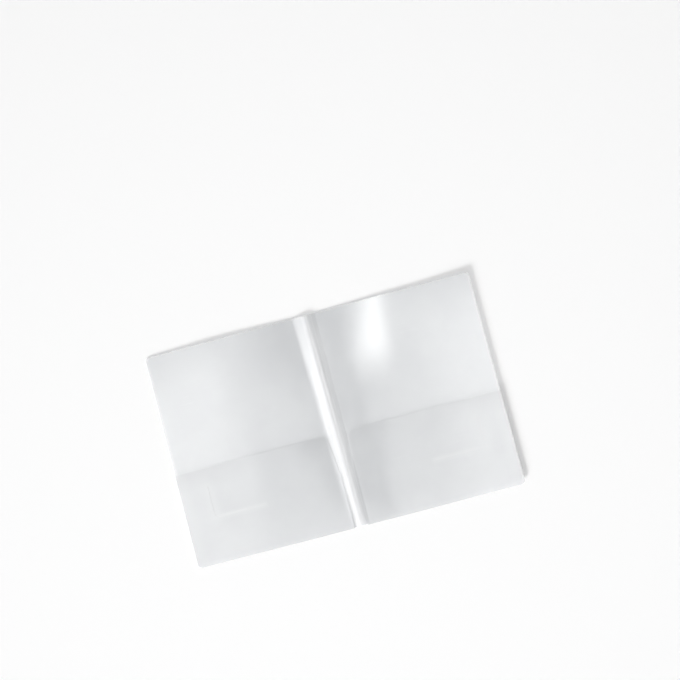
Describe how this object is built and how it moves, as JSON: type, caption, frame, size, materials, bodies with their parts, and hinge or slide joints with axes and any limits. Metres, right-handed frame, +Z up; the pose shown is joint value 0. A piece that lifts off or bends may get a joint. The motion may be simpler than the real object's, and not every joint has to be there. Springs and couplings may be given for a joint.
{
  "type": "two pocket folder",
  "caption": "Open folder of thin translucent plastic sheet, hinged along a narrow spine, with a slit pocket folded up and welded inside each cover.",
  "frame": {"origin": "on the table, under the middle of the open folder", "axes": "+X across the open folder towards the back cover, +Y along the spine towards the top edge, +Z up from the table"},
  "size_m": [0.46, 0.298, 0.0052],
  "materials": {
    "cover_sheet": "translucent frosted sheet",
    "pocket_sheet": "translucent frosted sheet",
    "spine_sheet": "translucent frosted sheet, paler where it is bowed",
    "crease": "stress-whitened score line",
    "weld": "melted seam"
  },
  "bodies": {
    "back_half": {"back_cover": "cover_sheet", "back_pocket_panel": "pocket_sheet", "back_pocket_fold": "pocket_sheet", "back_pocket_side": "pocket_sheet", "back_weld_seam": "weld"},
    "spine": {"spine_panel": "spine_sheet", "back_crease": "crease", "front_crease": "crease"},
    "front_half": {"front_cover": "cover_sheet", "front_pocket_panel": "pocket_sheet", "front_pocket_fold": "pocket_sheet", "front_pocket_side": "pocket_sheet", "front_weld_seam": "weld"}
  },
  "joints": [
    {"name": "back_hinge", "type": "hinge", "parent": "back_half", "child": "spine", "pos_m": [0.007, 0, 0.00022], "axis": [0, 1, 0], "range_deg": [0, 90]},
    {"name": "front_hinge", "type": "hinge", "parent": "spine", "child": "front_half", "pos_m": [-0.007, 0, 0.00022], "axis": [0, 1, 0], "range_deg": [0, 90]}
  ]
}
